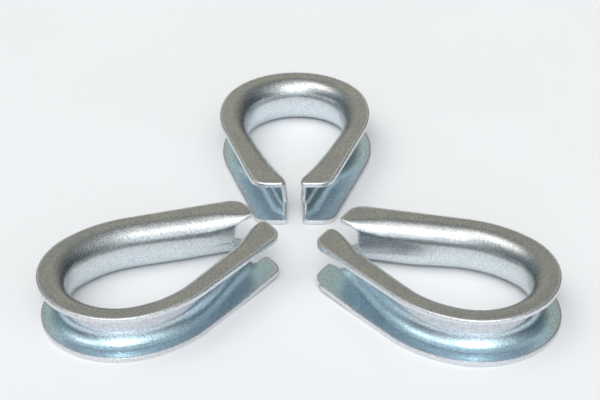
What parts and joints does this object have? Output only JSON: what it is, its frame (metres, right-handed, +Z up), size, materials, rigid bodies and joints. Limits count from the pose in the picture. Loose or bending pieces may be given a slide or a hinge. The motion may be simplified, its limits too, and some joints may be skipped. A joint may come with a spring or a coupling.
{
  "type": "wire rope thimble set",
  "caption": "Loose teardrop wire rope thimbles of pressed zinc-plated steel, laid flat with their tips together; a channel round the outside holds the rope, and the eye takes a pin or hook.",
  "frame": {"origin": "on the surface that the thimbles lie on, under the middle of the set", "axes": "+Z up; the back thimble's tip points along -Y, and the left and right ones lie towards -X and +X"},
  "size_m": [0.0976, 0.0927, 0.01],
  "materials": {
    "zinc_plate": "bright zinc plate with a faint blue passivation, fine rolled grain, brighter sheared edges"
  },
  "bodies": {
    "back_thimble": {"thimble_back": "zinc_plate"},
    "left_thimble": {"thimble_left": "zinc_plate"},
    "right_thimble": {"thimble_right": "zinc_plate"}
  },
  "joints": [
    {"name": "left_lift", "type": "slide", "parent": "back_thimble", "child": "left_thimble", "axis": [0, 0, 1], "range_m": [0, 0.05]},
    {"name": "right_lift", "type": "slide", "parent": "back_thimble", "child": "right_thimble", "axis": [0, 0, 1], "range_m": [0, 0.05]}
  ]
}
